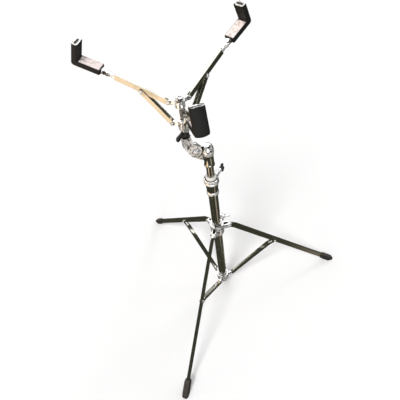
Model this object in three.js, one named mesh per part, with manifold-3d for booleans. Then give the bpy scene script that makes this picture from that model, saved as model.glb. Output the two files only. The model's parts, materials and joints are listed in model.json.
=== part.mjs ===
// A folding snare drum stand: a three-legged base, a sliding and turning upper tube, a tilter, and a
// three-armed basket that clamps a 14-inch drum. Millimetres, +Z up. The base tube's axis is the
// Z axis while the parts are placed, and the finished group is moved so that its origin is the
// middle of the floor rectangle under it.
import * as THREE from "three";
import { mergeVertices } from "three/addons/utils/BufferGeometryUtils.js";
import Module from "manifold-3d";

const wasm = await Module();
wasm.setup();
const { degToRad } = THREE.MathUtils;
const UP = new THREE.Vector3(0, 0, 1);

// ---- driving dimensions -------------------------------------------------------------------------

const GAP = 0.3; // clearance between touching pieces
const TUBE_R = 12.7; // base tube, one inch across
const UPPER_R = 9.5; // upper tube
const ROD_R = 4.5; // threaded rod of the basket
const PIN_R = 2.5; // pivot pins

const TUBE_WALL = 1.6;
const BOLT_HOLE_R = 3.3;

const LEG_AZIMUTHS = { front: -112.6, right: 7.4, left: 127.4 };
const LEG_PIVOT = [33.6, 318.7]; // distance from the tube axis, height
const LEG_BEND = [52, 309];
const LEG_SOLE = [385, 0]; // middle of the sole
const LEG_RIVET = [175.9, 190.6];
const LEG_WIDTH = 6.6;
const LEG_HALF_DEPTH = 7.75;
const LEG_WALL = 1.3;
const FOOT_WIDTH = 20;
const FOOT_HALF_DEPTH = 10;
const FOOT_LENGTH = 50;
const FOOT_REST = 9; // rubber under the end of the leg
const TOE_HEIGHT = 6;

const BRACE_PIVOT = [28.8, 52.5];
const BRACE_BEND = [158, 181];
const BRACE_HALF_DEPTH = 5;
const BRACE_THICK = 1.7;
const BRACE_OPEN = 14; // from the pivot to the start of the brace's web
const BRACE_TONGUE_R = 6.5;

const TUBE_BOTTOM = 34;
const TUBE_TOP = 500;
const PLUG_R = 14.5;
const PLUG_BOTTOM = 27;
const PLUG_TOP = 50;
const FIXED_COLLAR_R = 18.5; // collar at the foot of the tube
const FIXED_COLLAR_BOTTOM = 40;
const FIXED_COLLAR_TOP = 66;
const COLLAR_R = 19.5; // sliding leg collar
const COLLAR_BOTTOM = 297;
const COLLAR_TOP = 336;
const EAR_R = 8;
const EAR_THICK = 3;

const HOUSING_BOTTOM = 464; // clamp for the upper tube
const HOUSING_NECK = 477;
const HOUSING_SHOULDER = 504;
const HOUSING_TOP = 520;
const HOUSING_R = 19;
const BUSH_R = 11.4;
const BUSH_TOP = 530;
const BUSH_FLANGE_R = 14;
const UPPER_BOTTOM = 290;
const UPPER_TOP = 592;
const UPPER_WALL = 1.5;

const BOSS_R = 7; // round boss that a clamp bolt screws into
const BOSS_END = 27; // its distance from the tube axis
const COLLAR_BOLT_AZIMUTH = 55;
const COLLAR_BOLT_Z = 326;
const COLLAR_BOLT_STEM = 23;
const COLLAR_BOLT_REACH = 20; // from the bolt's axis to the tip of a wing
const COLLAR_BOLT_TURN = 75; // degrees that the wings are turned from upright
const HEIGHT_BOLT_AZIMUTH = 50;
const HEIGHT_BOLT_Z = 515;
const HEIGHT_BOLT_STEM = 29;
const HEIGHT_BOLT_REACH = 13;
const HEIGHT_BOLT_TURN = 0;

const TILT_AZIMUTH = -159.2; // side of the tube that the basket sits on
const BASKET_OFFSET = 47.3; // from the tube axis to the foot of the basket rod
const LEAN = 1.8; // degrees that the basket leans towards the front
const TILT_PIVOT = [32, 628];
const TILT_DISC_R = 14.5;
const CASTING_NEAR = 1.9; // the two castings' distances from the middle of the tilter
const CASTING_FAR = 10;
const SLEEVE_R = 11;
const SLEEVE_BOTTOM = 647;
const SLEEVE_TOP = 674;
const ROD_BOTTOM = 651;
const ROD_TOP = 769.5;
const NUT_BOTTOM = 677;
const NUT_R = 9;
const SLIDER_BOTTOM = 697.5;
const SLIDER_TOP = 723;
const SLIDER_R = 11.5;
const HUB_BOTTOM = 754.5;
const HUB_TOP = 770.1;
const HUB_R = 11;
const NUT_AZIMUTH = -121; // way that one wing of the nut points
const WASHER_R = 9.5;
const WASHER_THICK = 1.4;
const SCREW_R = 2.2;

const HUB_Z = 762.9; // height of the arm pivots
const ARM_AZIMUTHS = { front: -78.7, right: 41.3, left: 161.3 };
const ARM_PIVOT = [24.9, 0]; // distance from the rod axis, height over the hub's pivots
const ARM_END = [128, 51.5];
const ARM_WIDTH = 6;
const ARM_HALF_DEPTH = 6;
const ARM_WALL = 1.2;
const HUB_TONGUE = 3;
const HUB_TONGUE_R = 5;
const STRUT_ON_ARM = [77.9, 23.1];
const STRUT_ON_SLIDER = [23.4, -52.4];
const STRUT_HALF_DEPTH = 5;
const STRUT_THICK = 1.4;
const STRUT_OPEN_LOW = 9; // from the strut's two ends to its web
const STRUT_OPEN_HIGH = 17;
const SLIDER_TONGUE = 6;
const SLIDER_TONGUE_R = 5.2;
const GRIP_CORNER = [193.4, 88.2]; // inside corner where the hoop sits
const GRIP_RISE = 22; // degrees that the resting pad rises outwards
const GRIP_PAD = 46.7;
const GRIP_WALL = 35.5;
const GRIP_THICK = 13.5;
const GRIP_WIDTH = 25;
const TIP_TONGUE = 3; // the grip's carrier: inside the arm, at its neck, inside the grip
const NECK_DEPTH = 9;
const NECK_WIDTH = 13;
const TIP_WIDTH = 9;
const TIP_THICK = 4;

// ---- materials ----------------------------------------------------------------------------------

const chrome = new THREE.MeshStandardMaterial({ color: 0xb9b8ae, roughness: 0.12, metalness: 1 });
const steel = new THREE.MeshStandardMaterial({ color: 0x9a9a92, roughness: 0.35, metalness: 1 });
const gripRubber = new THREE.MeshStandardMaterial({ color: 0x26262a, roughness: 0.75, metalness: 0 });
const footRubber = new THREE.MeshStandardMaterial({ color: 0x2c2825, roughness: 0.85, metalness: 0 });
const blackPlastic = new THREE.MeshStandardMaterial({ color: 0x151516, roughness: 0.5, metalness: 0 });
const nylon = new THREE.MeshStandardMaterial({ color: 0xc9c8c2, roughness: 0.6, metalness: 0 });

// ---- solids -------------------------------------------------------------------------------------

function toSolid(geometry) {
  const bare = geometry.clone();
  bare.deleteAttribute("normal");
  bare.deleteAttribute("uv");
  const merged = mergeVertices(bare, 1e-4);
  return new wasm.Manifold(
    new wasm.Mesh({
      numProp: 3,
      vertProperties: new Float32Array(merged.attributes.position.array),
      triVerts: new Uint32Array(merged.index.array),
    }),
  );
}

function toGeometry(solid) {
  const mesh = solid.getMesh();
  const geometry = new THREE.BufferGeometry();
  geometry.setAttribute("position", new THREE.BufferAttribute(mesh.vertProperties, 3));
  geometry.setIndex(new THREE.BufferAttribute(mesh.triVerts, 1));
  geometry.computeVertexNormals();
  return geometry;
}

function join(...geometries) {
  return toGeometry(geometries.map(toSolid).reduce((all, next) => all.add(next)));
}

function cut(geometry, ...tools) {
  return toGeometry(tools.map(toSolid).reduce((left, tool) => left.subtract(tool), toSolid(geometry)));
}

// The convex shape that just holds all the given geometries.
const wrap = (...geometries) => toGeometry(wasm.Manifold.hull(geometries.map(toSolid)));

// A flat plate in the XZ plane, its outline a list of [x, z], between two values of y.
function plate(outline, fromY, toY) {
  const shape = new THREE.Shape(outline.map(([x, z]) => new THREE.Vector2(x, z)));
  const geometry = new THREE.ExtrudeGeometry(shape, { depth: toY - fromY, bevelEnabled: false });
  geometry.rotateX(Math.PI / 2);
  return geometry.translate(0, toY, 0);
}

// A plate of the given width, centred on y = 0.
const centredPlate = (outline, width) => plate(outline, -width / 2, width / 2);

// The outline of a band that follows a path of [x, z] points, with its own depth on either side.
function band(path, above, below, round = { start: false, end: false }) {
  const points = path.map(([x, z]) => new THREE.Vector2(x, z));
  const normals = points.slice(1).map((p, i) => {
    const along = p.clone().sub(points[i]).normalize();
    return new THREE.Vector2(-along.y, along.x);
  });
  const mitres = points.map((_, i) => {
    const before = normals[Math.max(i - 1, 0)];
    const after = normals[Math.min(i, normals.length - 1)];
    const mean = before.clone().add(after).normalize();
    return mean.divideScalar(mean.dot(after));
  });
  const side = (depth) => points.map((p, i) => p.clone().addScaledVector(mitres[i], depth));
  const cap = (centre, normal, from) =>
    [1, 2, 3, 4, 5].map((k) => {
      const turn = from - (k / 6) * Math.PI;
      return centre.clone().addScaledVector(normal.clone().rotateAround(new THREE.Vector2(), turn), above);
    });
  const last = points.length - 1;
  const outline = [
    ...side(above),
    ...(round.end ? cap(points[last], normals[last - 1], 0) : []),
    ...side(-below).reverse(),
    ...(round.start ? cap(points[0], normals[0], Math.PI) : []),
  ];
  return outline.map((p) => [p.x, p.y]).reverse();
}

// A disc outline round a point.
function circle([x, z], radius, sides = 20) {
  return Array.from({ length: sides }, (_, k) => {
    const angle = (k / sides) * 2 * Math.PI;
    return [x + radius * Math.cos(angle), z + radius * Math.sin(angle)];
  });
}

// A pin or a hole along Y through the point [x, z].
function pin([x, z], radius, length, sides = 16) {
  const geometry = new THREE.CylinderGeometry(radius, radius, length, sides);
  return geometry.translate(x, 0, z);
}

// A turned piece round Z, its profile a list of [radius, z] that closes on itself.
function turned(profile, sides = 32) {
  const points = profile.map(([r, z]) => new THREE.Vector2(r, z));
  points.push(points[0].clone());
  const geometry = new THREE.LatheGeometry(points, sides);
  return geometry.rotateX(Math.PI / 2);
}

// A solid piece turned round Z, its profile a list of [radius, z] from axis to axis.
function turnedSolid(profile, sides = 24) {
  const points = profile.map(([r, z]) => new THREE.Vector2(r, z));
  return new THREE.LatheGeometry(points, sides).rotateX(Math.PI / 2);
}

// A plain cylinder along Z.
function post(radius, fromZ, toZ, sides = 24) {
  const geometry = new THREE.CylinderGeometry(radius, radius, toZ - fromZ, sides);
  return geometry.rotateX(Math.PI / 2).translate(0, 0, (fromZ + toZ) / 2);
}

// A tube round Z.
const tube = (outer, inner, fromZ, toZ, sides = 32) =>
  turned([[inner, fromZ], [outer, fromZ], [outer, toZ], [inner, toZ]], sides);

// A cylinder that points away from the Z axis.
function radialPost(radius, fromR, toR, z, azimuth) {
  const geometry = new THREE.CylinderGeometry(radius, radius, toR - fromR, 20);
  geometry.rotateZ(Math.PI / 2).translate((fromR + toR) / 2, 0, z);
  return geometry.rotateZ(degToRad(azimuth));
}

// A block between two corners.
function block([x0, y0, z0], [x1, y1, z1]) {
  const geometry = new THREE.BoxGeometry(x1 - x0, y1 - y0, z1 - z0);
  return geometry.translate((x0 + x1) / 2, (y0 + y1) / 2, (z0 + z1) / 2);
}

function pointAlong(from, to, distance) {
  const way = new THREE.Vector2(to[0] - from[0], to[1] - from[1]).normalize();
  return [from[0] + way.x * distance, from[1] + way.y * distance];
}

const span = (from, to) => Math.hypot(to[0] - from[0], to[1] - from[1]);

function mesh(name, geometry, material) {
  const made = new THREE.Mesh(geometry, material);
  made.name = name;
  return made;
}

// A group turned about Z, in which +X is the direction at that azimuth.
function facing(azimuth, ...children) {
  const group = new THREE.Group();
  group.rotation.z = degToRad(azimuth);
  group.add(...children);
  return group;
}

// ---- base: tube, collars and height clamp -------------------------------------------------------

function baseTube() {
  return mesh("base_tube", tube(TUBE_R, TUBE_R - TUBE_WALL, TUBE_BOTTOM, TUBE_TOP), chrome);
}

function tubePlug() {
  const inside = TUBE_R - TUBE_WALL - GAP;
  const flangeTop = TUBE_BOTTOM - GAP;
  const profile = [[0, PLUG_BOTTOM], [10, PLUG_BOTTOM], [PLUG_R, PLUG_BOTTOM + 2.5], [PLUG_R, flangeTop],
    [inside, flangeTop], [inside, PLUG_TOP], [0, PLUG_TOP]];
  return mesh("tube_plug", turnedSolid(profile), footRubber);
}

// The fixed collar at the foot of the tube: a ring with one tongue for each brace.
function lowerCollar() {
  const ring = tube(FIXED_COLLAR_R, TUBE_R + GAP, FIXED_COLLAR_BOTTOM, FIXED_COLLAR_TOP);
  const outline = band([[15, BRACE_PIVOT[1]], BRACE_PIVOT], BRACE_TONGUE_R, BRACE_TONGUE_R,
    { start: false, end: true });
  const angles = Object.values(LEG_AZIMUTHS).map(degToRad);
  const tongues = angles.map((angle) => centredPlate(outline, LEG_WIDTH).rotateZ(angle));
  const holes = angles.map((angle) => pin(BRACE_PIVOT, PIN_R + GAP, 20).rotateZ(angle));
  const bore = post(TUBE_R + GAP, FIXED_COLLAR_BOTTOM - 10, FIXED_COLLAR_TOP + 10, 32);
  return mesh("lower_collar", cut(join(ring, ...tongues), bore, ...holes), chrome);
}

// The sliding collar: a ring with a fork of two ears round each leg and a boss for its wing bolt.
function legCollar() {
  const ring = tube(COLLAR_R, TUBE_R + GAP, COLLAR_BOTTOM, COLLAR_TOP);
  const earOutline = band([[15, LEG_PIVOT[1]], LEG_PIVOT], EAR_R, EAR_R, { start: false, end: true });
  const inner = LEG_WIDTH / 2 + GAP + 0.1;
  const ears = [];
  const holes = [];
  for (const angle of Object.values(LEG_AZIMUTHS).map(degToRad)) {
    ears.push(plate(earOutline, inner, inner + EAR_THICK).rotateZ(angle));
    ears.push(plate(earOutline, -inner - EAR_THICK, -inner).rotateZ(angle));
    holes.push(pin(LEG_PIVOT, PIN_R + GAP, 30).rotateZ(angle));
  }
  const boss = radialPost(BOSS_R, 15, BOSS_END, COLLAR_BOLT_Z, COLLAR_BOLT_AZIMUTH);
  const boltHole = radialPost(BOLT_HOLE_R, 5, BOSS_END + 10, COLLAR_BOLT_Z, COLLAR_BOLT_AZIMUTH);
  const bore = post(TUBE_R + GAP, COLLAR_BOTTOM - 10, COLLAR_TOP + 10, 32);
  return mesh("leg_collar", cut(join(ring, ...ears, boss), bore, boltHole, ...holes), chrome);
}

// The clamp for the upper tube: a sleeve on the base tube that widens to a thick ring with a boss.
function heightHousing() {
  const low = TUBE_R + GAP;
  const high = BUSH_R + GAP;
  const step = TUBE_TOP + 2 * GAP;
  const body = turned([[low, HOUSING_BOTTOM], [14.3, HOUSING_BOTTOM], [14.3, HOUSING_NECK],
    [15, HOUSING_NECK + 1], [16, HOUSING_SHOULDER], [HOUSING_R, HOUSING_SHOULDER + 1],
    [HOUSING_R, HOUSING_TOP - 1], [HOUSING_R - 1, HOUSING_TOP], [high, HOUSING_TOP], [high, step],
    [low, step]]);
  const boss = radialPost(BOSS_R, 15, BOSS_END, HEIGHT_BOLT_Z, HEIGHT_BOLT_AZIMUTH);
  const clearance = post(high, step, HOUSING_TOP + 10, 32);
  const boltHole = radialPost(BOLT_HOLE_R, 5, BOSS_END + 10, HEIGHT_BOLT_Z, HEIGHT_BOLT_AZIMUTH);
  return mesh("height_housing", cut(join(body, boss), clearance, boltHole), chrome);
}

// The nylon bush in the clamp, which the upper tube slides in.
function heightBush() {
  const bore = UPPER_R + GAP;
  const seat = HOUSING_TOP + GAP;
  const profile = [[bore, TUBE_TOP + 1.5], [BUSH_R, TUBE_TOP + 1.5], [BUSH_R, seat], [BUSH_FLANGE_R, seat],
    [BUSH_FLANGE_R, BUSH_TOP - 2], [BUSH_FLANGE_R - 1.5, BUSH_TOP], [bore, BUSH_TOP]];
  return mesh("height_bush", turned(profile), nylon);
}

const STEM_R = 3;
const WING_THICK = 4.4;

// A bolt that points along +X from the origin: a stem, a tapered head and two rounded wings.
function wingBolt(name, stemLength, reach, material) {
  const stem = pin([0, 0], STEM_R, stemLength).rotateZ(-Math.PI / 2).translate(stemLength / 2, 0, 0);
  const head = new THREE.CylinderGeometry(5.2, 6.4, 9, 16).rotateZ(-Math.PI / 2);
  head.translate(stemLength + 4, 0, 0);
  const root = centredPlate(circle([stemLength + 4.5, 0], 3.5), WING_THICK);
  const wings = [-1, 1].map((side) => {
    const end = centredPlate(circle([stemLength + 9, side * (reach - 4)], 4), WING_THICK);
    return wrap(root, end);
  });
  return mesh(name, join(stem, head, ...wings), material);
}

// A bolt placed in its boss on the tube and turned about its own axis.
function inBoss(bolt, azimuth, z, turnAngle) {
  bolt.position.set(TUBE_R + 1.5, 0, z);
  bolt.rotation.x = degToRad(turnAngle);
  return facing(azimuth, bolt);
}

// ---- legs and braces ----------------------------------------------------------------------------

const legLine = span(LEG_BEND, LEG_SOLE);
const legEnd = pointAlong(LEG_BEND, LEG_SOLE, legLine - FOOT_REST);

// The leg is an inverted channel: two side walls under a top web, bent near the collar.
function leg(place) {
  const path = [LEG_PIVOT, LEG_BEND, legEnd];
  const outside = centredPlate(
    band(path, LEG_HALF_DEPTH, LEG_HALF_DEPTH, { start: true, end: false }), LEG_WIDTH);
  const hollowPath = [pointAlong(LEG_BEND, LEG_PIVOT, 50), LEG_BEND,
    pointAlong(LEG_BEND, LEG_SOLE, legLine + 20)];
  const hollow = centredPlate(
    band(hollowPath, LEG_HALF_DEPTH - LEG_WALL, LEG_HALF_DEPTH + 9), LEG_WIDTH - 2 * LEG_WALL);
  return mesh("leg_" + place, cut(outside, hollow, pin(LEG_PIVOT, PIN_R + GAP, 20)), chrome);
}

function foot(place) {
  const way = new THREE.Vector2(LEG_SOLE[0] - LEG_BEND[0], LEG_SOLE[1] - LEG_BEND[1]).normalize();
  const top = pointAlong(LEG_BEND, LEG_SOLE, legLine - FOOT_LENGTH);
  const upper = [top[0] - way.y * FOOT_HALF_DEPTH, top[1] + way.x * FOOT_HALF_DEPTH];
  const lower = [top[0] + way.y * FOOT_HALF_DEPTH, top[1] - way.x * FOOT_HALF_DEPTH];
  const toFloor = (point, height) => {
    const distance = (point[1] - height) / -way.y;
    return [point[0] + way.x * distance, height];
  };
  const toe = toFloor(upper, TOE_HEIGHT);
  const outline = [lower, toFloor(lower, 0), [toe[0] + 1, 0], [toe[0] + 3, TOE_HEIGHT / 2], toe, upper];
  const boot = centredPlate(outline, FOOT_WIDTH);
  const socketPath = [pointAlong(LEG_BEND, LEG_SOLE, legLine - FOOT_LENGTH - 10),
    pointAlong(LEG_BEND, LEG_SOLE, legLine - FOOT_REST + GAP)];
  const depth = LEG_HALF_DEPTH + GAP;
  const socket = centredPlate(band(socketPath, depth, depth), LEG_WIDTH + 2 * GAP);
  return mesh("foot_" + place, cut(boot, socket), footRubber);
}

function legPin(place) {
  return mesh("leg_pin_" + place, pin(LEG_PIVOT, PIN_R, LEG_WIDTH + 11), steel);
}

// Each brace is a channel whose web faces the tube. It is cut open where it straddles the collar's
// tongue and the leg.
function brace(place) {
  const ends = { start: true, end: true };
  const path = [BRACE_PIVOT, BRACE_BEND, LEG_RIVET];
  const inner = LEG_WIDTH + 2 * (GAP + 0.1);
  const outside = centredPlate(
    band(path, BRACE_HALF_DEPTH, BRACE_HALF_DEPTH, ends), inner + 2 * BRACE_THICK);
  const fromPivot = (distance) => pointAlong(BRACE_PIVOT, BRACE_BEND, distance);
  const hollowPath = [fromPivot(-20), BRACE_BEND, pointAlong(BRACE_BEND, LEG_RIVET, 50)];
  const hollow = centredPlate(
    band(hollowPath, BRACE_HALF_DEPTH - BRACE_THICK, BRACE_HALF_DEPTH + 5), inner);
  const depth = BRACE_HALF_DEPTH + 5;
  const atCollar = centredPlate(band([fromPivot(-20), fromPivot(BRACE_OPEN)], depth, depth), inner);
  const atLeg = centredPlate(band([BRACE_BEND, pointAlong(BRACE_BEND, LEG_RIVET, 50)], depth, depth), inner);
  const hole = pin(BRACE_PIVOT, PIN_R + GAP, 20);
  return mesh("brace_" + place, cut(outside, hollow, atCollar, atLeg, hole), chrome);
}

function bracePin(place) {
  return mesh("brace_pin_" + place, pin(BRACE_PIVOT, PIN_R, LEG_WIDTH + 8), steel);
}

// ---- upper tube and tilter ----------------------------------------------------------------------

function upperTube() {
  return mesh("upper_tube", tube(UPPER_R, UPPER_R - UPPER_WALL, UPPER_BOTTOM, UPPER_TOP), chrome);
}

// The tilter's lower casting: a sleeve on the tube with a domed head and an arm to the pivot disc.
function tilterBase() {
  const body = turnedSolid([[0, 566], [12.4, 566], [12.4, 570], [11.6, 572], [11.6, 596], [12.6, 599],
    [14, 603], [14.8, 610], [14, 619], [11.2, 626], [6.5, 630], [0, 631]], 28);
  const arm = plate([[2, 584], [14, 585], [27, 595], [38, 607], [45, 622], [30, 640], [12, 626], [2, 629]],
    -CASTING_FAR, -CASTING_NEAR);
  const disc = plate(circle(TILT_PIVOT, TILT_DISC_R, 28), -CASTING_FAR, -CASTING_NEAR);
  const bore = post(UPPER_R + GAP, 550, UPPER_TOP + GAP, 32);
  const boltHole = pin(TILT_PIVOT, BOLT_HOLE_R, 60);
  return mesh("tilter_base", cut(join(body, arm, disc), bore, boltHole), chrome);
}

// A toothed disc between the two castings, so that the tilt locks in steps.
function ratchetDisc() {
  const teeth = 24;
  const outline = Array.from({ length: 2 * teeth }, (_, k) => {
    const angle = (k / (2 * teeth)) * 2 * Math.PI;
    const radius = k % 2 ? TILT_DISC_R - 0.6 : TILT_DISC_R - 1.8;
    return [TILT_PIVOT[0] + radius * Math.cos(angle), TILT_PIVOT[1] + radius * Math.sin(angle)];
  });
  return mesh("ratchet_disc", cut(plate(outline, -1.5, 1.5), pin(TILT_PIVOT, BOLT_HOLE_R, 20)), steel);
}

// A group with the basket's lean, about the foot of its rod. Its children are placed round Z.
function leaning(...children) {
  const foot = new THREE.Vector3(BASKET_OFFSET, 0, 0).applyAxisAngle(UP, degToRad(TILT_AZIMUTH));
  const group = new THREE.Group();
  group.position.set(foot.x, foot.y, ROD_BOTTOM);
  group.rotation.x = degToRad(LEAN);
  const level = new THREE.Group();
  level.position.z = -ROD_BOTTOM;
  level.add(...children);
  group.add(level);
  return group;
}

// The same lean for a geometry drawn round Z, in the tilter's own directions.
function leaned(geometry) {
  geometry.translate(0, 0, -ROD_BOTTOM).rotateZ(degToRad(TILT_AZIMUTH)).rotateX(degToRad(LEAN));
  return geometry.rotateZ(-degToRad(TILT_AZIMUTH)).translate(BASKET_OFFSET, 0, ROD_BOTTOM);
}

// The tilter's upper casting: the other disc, and a sleeve that holds the basket rod.
function tilterArm() {
  const disc = plate(circle(TILT_PIVOT, TILT_DISC_R, 28), CASTING_NEAR, CASTING_FAR);
  const web = plate([[24, 616], [38, 615], [47, 627], [57, 648], [57, 670], [38, 670], [34, 650], [22, 638]],
    CASTING_NEAR, CASTING_FAR);
  const sleeve = leaned(post(SLEEVE_R, SLEEVE_BOTTOM, SLEEVE_TOP, 28));
  const bore = leaned(post(ROD_R + GAP, ROD_BOTTOM - GAP, SLEEVE_TOP + 10));
  const boltHole = pin(TILT_PIVOT, BOLT_HOLE_R, 60);
  return mesh("tilter_arm", cut(join(disc, web, sleeve), bore, boltHole), chrome);
}

// The bolt through both discs: a round head in front and a wing behind.
function tilterWingBolt() {
  const stem = pin([0, 0], STEM_R, 28).translate(0, -1.5, 0);
  const head = pin([0, 0], 6.5, 4.5, 20).translate(0, CASTING_FAR + 2.6, 0);
  const nut = new THREE.CylinderGeometry(6.2, 5.2, 8, 16).translate(0, -CASTING_FAR - 5, 0);
  const root = circle([0, 0], 4);
  const wings = [-120, 60].map((angle) => {
    const end = new THREE.Vector2(15, 0).rotateAround(new THREE.Vector2(), degToRad(angle));
    return wrap(plate(root, -17, -12), plate(circle([end.x, end.y], 4), -21, -15));
  });
  const bolt = join(stem, head, nut, ...wings);
  return mesh("tilter_wing_bolt", bolt.translate(TILT_PIVOT[0], 0, TILT_PIVOT[1]), chrome);
}

// ---- basket -------------------------------------------------------------------------------------

function basketRod() {
  const body = post(ROD_R, ROD_BOTTOM, ROD_TOP, 20);
  return mesh("basket_rod", cut(body, post(SCREW_R + GAP, ROD_TOP - 16, ROD_TOP + 5, 16)), steel);
}

function wingNut() {
  const top = SLIDER_BOTTOM - GAP;
  const hub = tube(NUT_R, ROD_R + GAP, NUT_BOTTOM, top, 24);
  const root = centredPlate([[6, NUT_BOTTOM + 4], [10, NUT_BOTTOM + 4], [10, top - 4], [6, top - 4]], 7);
  const wing = wrap(root, centredPlate(circle([27, NUT_BOTTOM + 12], 6.5), 6));
  const bore = post(ROD_R + GAP, NUT_BOTTOM - 10, top + 10, 24);
  return mesh("wing_nut", cut(join(hub, wing, wing.clone().rotateZ(Math.PI)), bore), blackPlastic);
}

const atHub = (point) => [point[0], point[1] + HUB_Z];

// A ring with three tongues: the hub and the slider are both made this way.
function spider(name, ringR, fromZ, toZ, pivot, tongueWidth, tongueR) {
  const ring = post(ringR, fromZ, toZ, 30);
  const centre = atHub(pivot);
  const outline = band([[ROD_R, centre[1]], centre], tongueR, tongueR, { start: false, end: true });
  const angles = Object.values(ARM_AZIMUTHS).map(degToRad);
  const tongues = angles.map((angle) => centredPlate(outline, tongueWidth).rotateZ(angle));
  const holes = angles.map((angle) => pin(centre, PIN_R + GAP, 20).rotateZ(angle));
  const bore = post(ROD_R + GAP + 0.1, fromZ - 5, toZ + 5, 24);
  return mesh(name, cut(join(ring, ...tongues), bore, ...holes), chrome);
}

function hubWasher() {
  const bottom = HUB_TOP + GAP;
  return mesh("hub_washer", tube(WASHER_R, SCREW_R + GAP, bottom, bottom + WASHER_THICK, 24), steel);
}

function hubScrew() {
  const bottom = ROD_TOP - 14;
  const seat = HUB_TOP + WASHER_THICK + 2 * GAP;
  const screw = turnedSolid([[0, bottom], [SCREW_R, bottom], [SCREW_R, seat], [7.2, seat], [7.2, seat + 1.8],
    [5.8, seat + 3.8], [3, seat + 4.8], [0, seat + 5]]);
  const slots = [0, 90].map((angle) =>
    block([-3.4, -0.7, seat + 2.6], [3.4, 0.7, seat + 8]).rotateZ(degToRad(angle)));
  return mesh("hub_screw", cut(screw, ...slots), steel);
}

// Each arm is an inverted channel that straddles its tongue on the hub.
function arm(place) {
  const from = atHub(ARM_PIVOT);
  const to = atHub(ARM_END);
  const along = (distance) => pointAlong(from, to, distance);
  const inner = ARM_WIDTH - 2 * ARM_WALL;
  const outside = centredPlate(
    band([from, to], ARM_HALF_DEPTH, ARM_HALF_DEPTH, { start: true, end: false }), ARM_WIDTH);
  const hollow = centredPlate(
    band([along(-20), along(span(from, to) + 20)], ARM_HALF_DEPTH - ARM_WALL, ARM_HALF_DEPTH + 5), inner);
  const open = centredPlate(band([along(-20), along(9)], 12, 12), inner);
  return mesh("arm_" + place, cut(outside, hollow, open, pin(from, PIN_R + GAP, 30)), chrome);
}

const riseAngle = degToRad(GRIP_RISE);
const padWay = [Math.cos(riseAngle), Math.sin(riseAngle)];
const wallWay = [-Math.sin(riseAngle), Math.cos(riseAngle)];

// A point in the grip's own directions: along the pad outwards, and up the wall, from its corner.
function gripPoint(out, up) {
  return atHub([
    GRIP_CORNER[0] + out * padWay[0] + up * wallWay[0],
    GRIP_CORNER[1] + out * padWay[1] + up * wallWay[1],
  ]);
}

const armLine = span(ARM_PIVOT, ARM_END);
const alongArm = (distance) => pointAlong(atHub(ARM_PIVOT), atHub(ARM_END), distance);
const GRIP_FACE = gripPoint(-GRIP_PAD, -GRIP_THICK / 2); // middle of the grip's inner end
const TIP_PATH = [
  pointAlong(GRIP_FACE, alongArm(armLine), 5),
  gripPoint(-GRIP_PAD + 8, -GRIP_THICK / 2),
  gripPoint(GRIP_THICK / 2, -GRIP_THICK / 2),
  gripPoint(GRIP_THICK / 2, GRIP_WALL - 9),
];

// The grip's carrier: a tongue fixed in the end of the arm, a neck that widens towards the grip,
// and a flat bar bent up inside the rubber.
function armTip(place) {
  const tongue = centredPlate(band([alongArm(armLine - 24), alongArm(armLine + 3)], 3, 3), TIP_TONGUE);
  const half = NECK_DEPTH / 2;
  const slice = (point, width) =>
    centredPlate(band([point, pointAlong(point, GRIP_FACE, 0.5)], half, half), width);
  const neckStart = alongArm(armLine + GAP);
  const neckEnd = pointAlong(GRIP_FACE, neckStart, 1.5 + half * Math.sin(riseAngle / 2));
  const neck = wrap(slice(neckStart, ARM_WIDTH), slice(neckEnd, NECK_WIDTH));
  const bar = centredPlate(band(TIP_PATH, TIP_THICK / 2, TIP_THICK / 2), TIP_WIDTH);
  return mesh("arm_tip_" + place, join(tongue, neck, bar), chrome);
}

function grip(place) {
  const outline = [
    gripPoint(-GRIP_PAD, 0),
    gripPoint(-GRIP_PAD, -GRIP_THICK),
    gripPoint(GRIP_THICK - 3, -GRIP_THICK),
    gripPoint(GRIP_THICK, -GRIP_THICK + 3),
    gripPoint(GRIP_THICK, GRIP_WALL),
    gripPoint(0, GRIP_WALL),
    gripPoint(0, 0),
  ];
  const body = centredPlate(outline, GRIP_WIDTH);
  const half = TIP_THICK / 2 + GAP;
  const cavityPath = [...TIP_PATH.slice(0, 3), gripPoint(GRIP_THICK / 2, GRIP_WALL - 9 + GAP)];
  const cavity = centredPlate(band(cavityPath, half, half), TIP_WIDTH + 2 * GAP);
  return mesh("grip_" + place, cut(body, cavity), gripRubber);
}

function armPin(place) {
  return mesh("arm_pin_" + place, pin(atHub(ARM_PIVOT), PIN_R, ARM_WIDTH + 3), steel);
}

// Each strut is a channel whose web faces outwards. It is cut open where it straddles the slider's
// tongue and the arm.
function strut(place) {
  const from = atHub(STRUT_ON_SLIDER);
  const to = atHub(STRUT_ON_ARM);
  const along = (distance) => pointAlong(from, to, distance);
  const length = span(from, to);
  const inner = ARM_WIDTH + 2 * (GAP + 0.1);
  const outside = centredPlate(
    band([from, to], STRUT_HALF_DEPTH, STRUT_HALF_DEPTH, { start: true, end: true }),
    inner + 2 * STRUT_THICK);
  const hollow = centredPlate(
    band([along(-20), along(length + 20)], STRUT_HALF_DEPTH + 5, STRUT_HALF_DEPTH - STRUT_THICK), inner);
  const depth = STRUT_HALF_DEPTH + 5;
  const atSlider = centredPlate(band([along(-20), along(STRUT_OPEN_LOW)], depth, depth), inner);
  const atArm = centredPlate(
    band([along(length - STRUT_OPEN_HIGH), along(length + 20)], depth, depth), inner);
  return mesh("strut_" + place, cut(outside, hollow, atSlider, atArm, pin(from, PIN_R + GAP, 30)), chrome);
}

function strutPin(place) {
  return mesh("strut_pin_" + place, pin(atHub(STRUT_ON_SLIDER), PIN_R, ARM_WIDTH + 7), steel);
}

// ---- assembly -----------------------------------------------------------------------------------

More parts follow.
